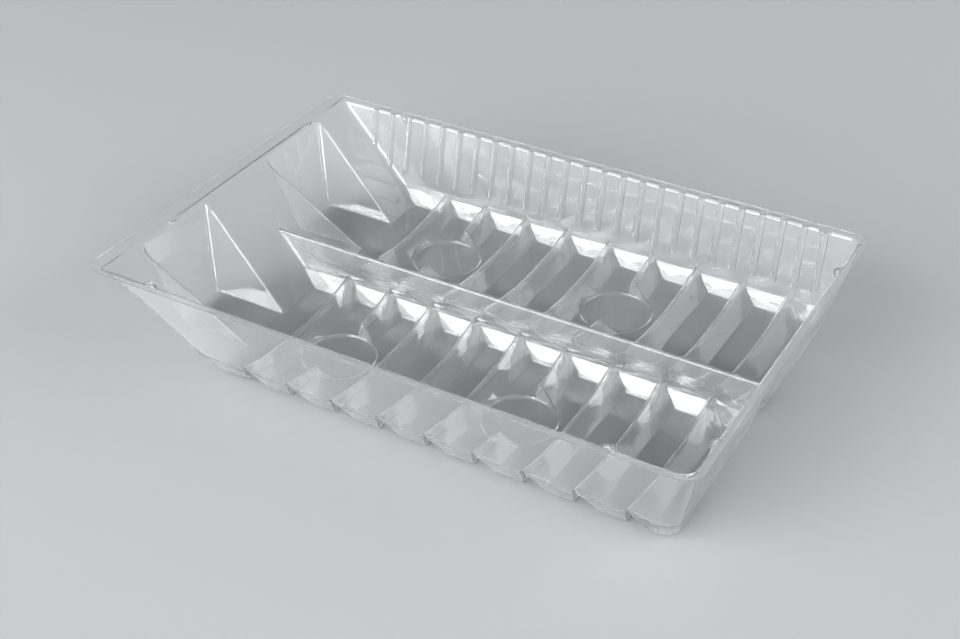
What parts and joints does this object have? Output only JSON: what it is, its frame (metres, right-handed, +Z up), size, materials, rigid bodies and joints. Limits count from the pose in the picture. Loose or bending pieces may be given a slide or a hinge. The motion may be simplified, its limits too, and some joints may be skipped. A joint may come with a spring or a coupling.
{
  "type": "plastic transport tray",
  "caption": "Clear thermoformed transport tray with a flat rim, two ribbed bays parted by a low divider, a ramp with finger recesses at one end and round finger wells.",
  "frame": {"origin": "middle of the footprint, on the surface the tray stands on", "axes": "+X along the tray from the ramp end to the steep end, +Y across it to the fluted long wall, +Z up"},
  "size_m": [0.4, 0.2624, 0.0633],
  "materials": {
    "clear_plastic": "clear glossy PET sheet"
  },
  "bodies": {
    "root": {"tray": "clear_plastic"}
  },
  "joints": []
}
